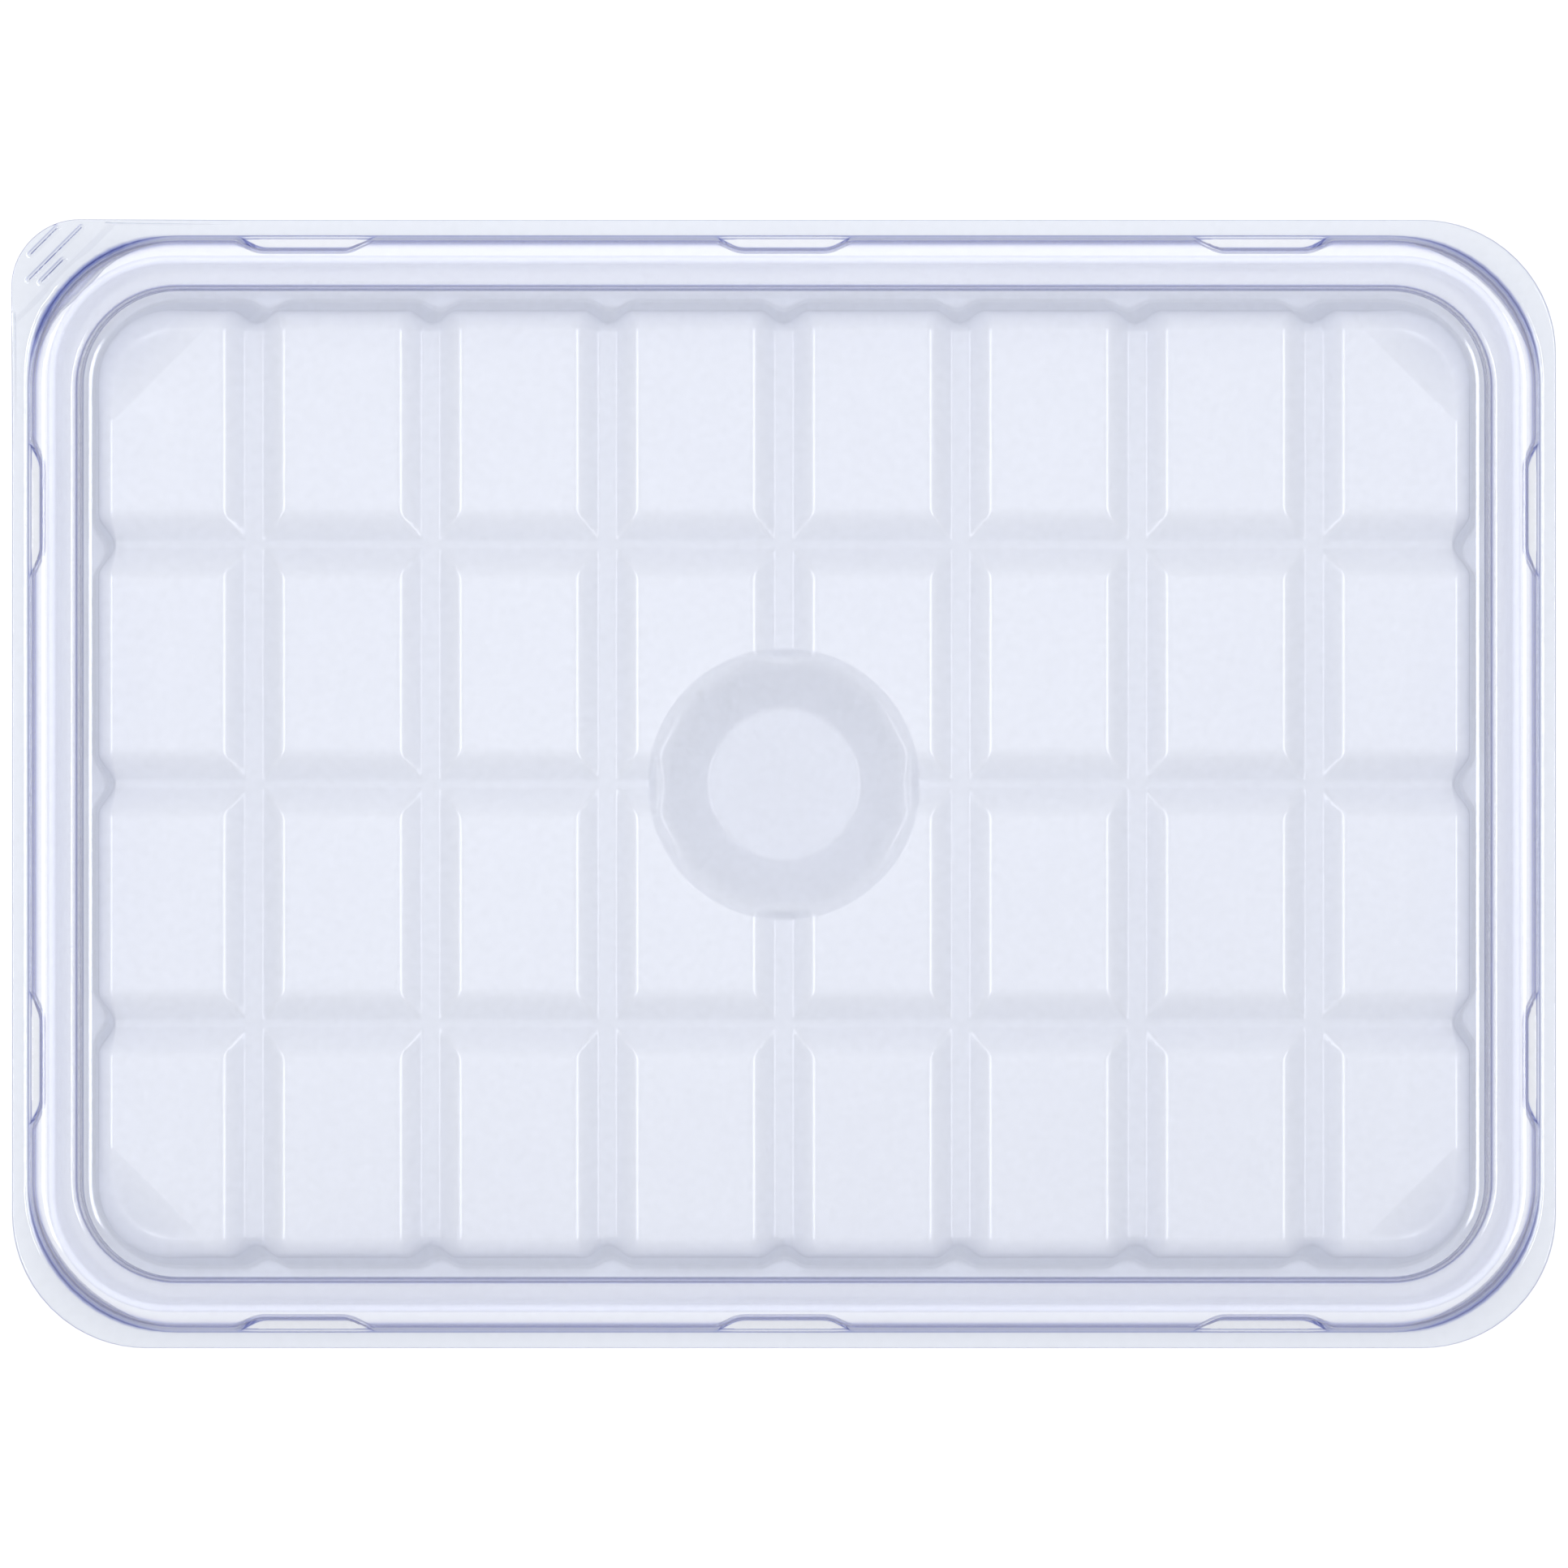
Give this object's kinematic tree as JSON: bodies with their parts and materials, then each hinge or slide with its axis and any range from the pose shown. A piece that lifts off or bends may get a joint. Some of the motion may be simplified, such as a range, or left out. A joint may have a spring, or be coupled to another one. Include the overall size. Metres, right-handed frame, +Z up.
{
  "type": "humidity dome tray",
  "caption": "Shallow rectangular white tray with a raised grid platform and sunken well, under a clear lift-off dome with a notched skirt and corner pull tab.",
  "frame": {"origin": "centre of the footprint, on the surface that the tray stands on", "axes": "+X along the length, +Y across the width with the pull tab at the -X +Y corner, +Z up through the dome's top"},
  "size_m": [0.26, 0.19, 0.06],
  "materials": {
    "white_sheet": "glossy white formed sheet",
    "clear_sheet": "clear formed sheet with a faint blue tint"
  },
  "bodies": {
    "tray": {"tray": "white_sheet"},
    "dome": {"dome": "clear_sheet"}
  },
  "joints": [
    {"name": "dome_lift", "type": "slide", "parent": "tray", "child": "dome", "axis": [0, 0, 1], "range_m": [0, 0.08]}
  ]
}
